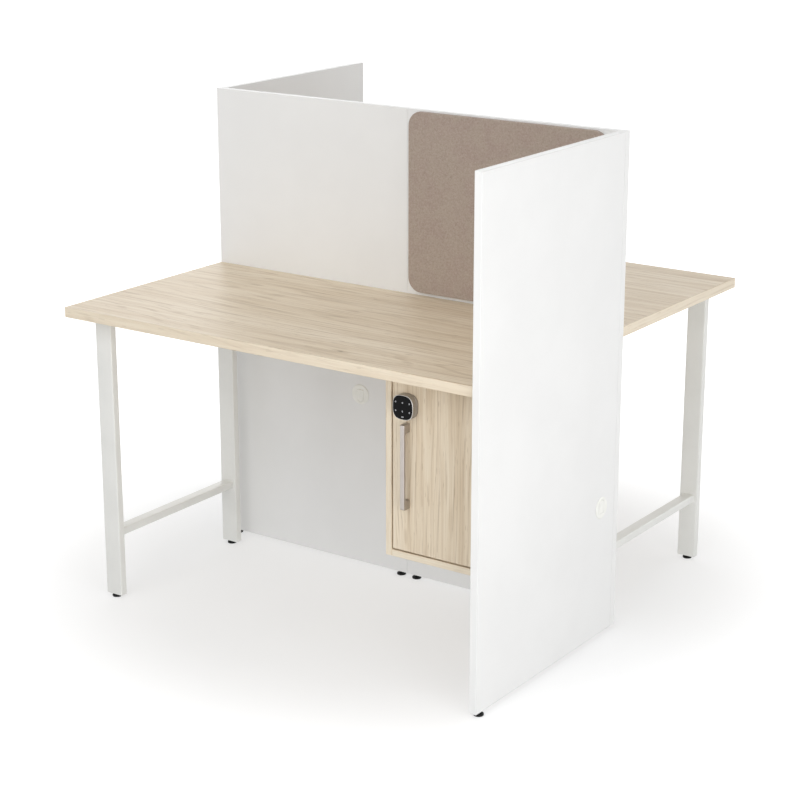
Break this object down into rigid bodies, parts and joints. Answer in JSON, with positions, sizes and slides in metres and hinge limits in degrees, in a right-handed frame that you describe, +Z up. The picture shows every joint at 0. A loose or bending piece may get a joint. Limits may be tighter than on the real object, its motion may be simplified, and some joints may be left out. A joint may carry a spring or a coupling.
{
  "type": "study carrel",
  "caption": "back-to-back study carrel: tall pinwheel privacy panels, worktops on tube leg frames, pinboards and lockers with keypad locks under the tops",
  "frame": {"origin": "on the floor under the middle of the divider", "axes": "+X along the divider to the front desk's side panel, -Y out of the front desk towards its sitter, +Z up"},
  "size_m": [1.205, 1.223, 1.22],
  "materials": {
    "white_melamine": "matt white melamine faced board, fine pearl texture",
    "oak_laminate": "pale oak grain laminate with matching edge band",
    "white_steel": "off-white powder coat, satin",
    "pinboard_felt": "taupe mottled pressed felt",
    "black_plastic": "black moulded, matt",
    "white_plastic": "white moulded, satin",
    "satin_nickel": "satin nickel",
    "keypad_glass": "gloss black keypad face",
    "zinc_steel": "bright zinc plate"
  },
  "bodies": {
    "carrel": {"divider_panel_left": "white_melamine", "divider_panel_right": "white_melamine", "side_panel_front": "white_melamine", "side_panel_rear": "white_melamine", "worktop_front": "oak_laminate", "locker_front_left_side": "oak_laminate", "locker_front_right_side": "oak_laminate", "locker_front_bottom": "oak_laminate", "locker_front_top": "oak_laminate", "locker_front_back": "oak_laminate", "leg_frame_front": "white_steel", "pinboard_front": "pinboard_felt", "worktop_rail_front": "zinc_steel", "locker_front_hinge_bottom_arm": "zinc_steel", "locker_front_hinge_top_arm": "zinc_steel", "grommet_front_desk_ring": "white_plastic", "grommet_front_locker_ring": "white_plastic", "worktop_rear": "oak_laminate", "locker_rear_left_side": "oak_laminate", "locker_rear_right_side": "oak_laminate", "locker_rear_bottom": "oak_laminate", "locker_rear_top": "oak_laminate", "locker_rear_back": "oak_laminate", "leg_frame_rear": "white_steel", "pinboard_rear": "pinboard_felt", "worktop_rail_rear": "zinc_steel", "locker_rear_hinge_bottom_arm": "zinc_steel", "locker_rear_hinge_top_arm": "zinc_steel", "grommet_rear_desk_ring": "white_plastic", "grommet_rear_locker_ring": "white_plastic"},
    "door_front": {"locker_front_door": "oak_laminate", "locker_front_handle": "satin_nickel", "locker_front_lock_base": "satin_nickel", "locker_front_hinge_bottom_cup": "zinc_steel", "locker_front_hinge_top_cup": "zinc_steel"},
    "knob_front": {"locker_front_lock_knob": "satin_nickel", "locker_front_lock_keypad": "keypad_glass", "locker_front_lock_cam": "zinc_steel"},
    "tongue_desk_front": {"grommet_front_desk_tongue": "white_plastic"},
    "tongue_locker_front": {"grommet_front_locker_tongue": "white_plastic"},
    "foot_front_outer_leg_screw": {"foot_front_outer_leg": "black_plastic"},
    "foot_front_inner_leg_screw": {"foot_front_inner_leg": "black_plastic"},
    "foot_front_divider_end_screw": {"foot_front_divider_end": "black_plastic"},
    "foot_front_divider_middle_screw": {"foot_front_divider_middle": "black_plastic"},
    "foot_front_side_panel_screw": {"foot_front_side_panel": "black_plastic"},
    "door_rear": {"locker_rear_door": "oak_laminate", "locker_rear_handle": "satin_nickel", "locker_rear_lock_base": "satin_nickel", "locker_rear_hinge_bottom_cup": "zinc_steel", "locker_rear_hinge_top_cup": "zinc_steel"},
    "knob_rear": {"locker_rear_lock_knob": "satin_nickel", "locker_rear_lock_keypad": "keypad_glass", "locker_rear_lock_cam": "zinc_steel"},
    "tongue_desk_rear": {"grommet_rear_desk_tongue": "white_plastic"},
    "tongue_locker_rear": {"grommet_rear_locker_tongue": "white_plastic"},
    "foot_rear_outer_leg_screw": {"foot_rear_outer_leg": "black_plastic"},
    "foot_rear_inner_leg_screw": {"foot_rear_inner_leg": "black_plastic"},
    "foot_rear_divider_end_screw": {"foot_rear_divider_end": "black_plastic"},
    "foot_rear_divider_middle_screw": {"foot_rear_divider_middle": "black_plastic"},
    "foot_rear_side_panel_screw": {"foot_rear_side_panel": "black_plastic"}
  },
  "joints": [
    {"name": "door_hinge_front", "type": "hinge", "parent": "carrel", "child": "door_front", "pos_m": [0.56295, -0.502, 0.51], "axis": [0, 0, 1], "range_deg": [0, 95]},
    {"name": "lock_turn_front", "type": "hinge", "parent": "door_front", "child": "knob_front", "pos_m": [0.3433, -0.502, 0.6525], "axis": [0, 1, 0], "range_deg": [0, 90]},
    {"name": "tongue_desk_front_flex", "type": "hinge", "parent": "carrel", "child": "tongue_desk_front", "pos_m": [-0.146, -0.0097, 0.4835], "axis": [1, 0, 0], "range_deg": [0, 60], "stiffness_Nm_per_rad": 0.01},
    {"name": "tongue_locker_front_flex", "type": "hinge", "parent": "carrel", "child": "tongue_locker_front", "pos_m": [0.6002, -0.072, 0.3225], "axis": [0, -1, 0], "range_deg": [0, 60], "stiffness_Nm_per_rad": 0.01},
    {"name": "foot_front_outer_leg_height", "type": "slide", "parent": "carrel", "child": "foot_front_outer_leg_screw", "axis": [0, 0, -1], "range_m": [0, 0.015]},
    {"name": "foot_front_inner_leg_height", "type": "slide", "parent": "carrel", "child": "foot_front_inner_leg_screw", "axis": [0, 0, -1], "range_m": [0, 0.015]},
    {"name": "foot_front_divider_end_height", "type": "slide", "parent": "carrel", "child": "foot_front_divider_end_screw", "axis": [0, 0, -1], "range_m": [0, 0.015]},
    {"name": "foot_front_divider_middle_height", "type": "slide", "parent": "carrel", "child": "foot_front_divider_middle_screw", "axis": [0, 0, -1], "range_m": [0, 0.015]},
    {"name": "foot_front_side_panel_height", "type": "slide", "parent": "carrel", "child": "foot_front_side_panel_screw", "axis": [0, 0, -1], "range_m": [0, 0.015]},
    {"name": "door_hinge_rear", "type": "hinge", "parent": "carrel", "child": "door_rear", "pos_m": [-0.56295, 0.502, 0.51], "axis": [0, 0, 1], "range_deg": [0, 95]},
    {"name": "lock_turn_rear", "type": "hinge", "parent": "door_rear", "child": "knob_rear", "pos_m": [-0.3433, 0.502, 0.6525], "axis": [0, -1, 0], "range_deg": [0, 90]},
    {"name": "tongue_desk_rear_flex", "type": "hinge", "parent": "carrel", "child": "tongue_desk_rear", "pos_m": [0.146, 0.0097, 0.4835], "axis": [-1, 0, 0], "range_deg": [0, 60], "stiffness_Nm_per_rad": 0.01},
    {"name": "tongue_locker_rear_flex", "type": "hinge", "parent": "carrel", "child": "tongue_locker_rear", "pos_m": [-0.6002, 0.072, 0.3225], "axis": [0, 1, 0], "range_deg": [0, 60], "stiffness_Nm_per_rad": 0.01},
    {"name": "foot_rear_outer_leg_height", "type": "slide", "parent": "carrel", "child": "foot_rear_outer_leg_screw", "axis": [0, 0, -1], "range_m": [0, 0.015]},
    {"name": "foot_rear_inner_leg_height", "type": "slide", "parent": "carrel", "child": "foot_rear_inner_leg_screw", "axis": [0, 0, -1], "range_m": [0, 0.015]},
    {"name": "foot_rear_divider_end_height", "type": "slide", "parent": "carrel", "child": "foot_rear_divider_end_screw", "axis": [0, 0, -1], "range_m": [0, 0.015]},
    {"name": "foot_rear_divider_middle_height", "type": "slide", "parent": "carrel", "child": "foot_rear_divider_middle_screw", "axis": [0, 0, -1], "range_m": [0, 0.015]},
    {"name": "foot_rear_side_panel_height", "type": "slide", "parent": "carrel", "child": "foot_rear_side_panel_screw", "axis": [0, 0, -1], "range_m": [0, 0.015]}
  ]
}
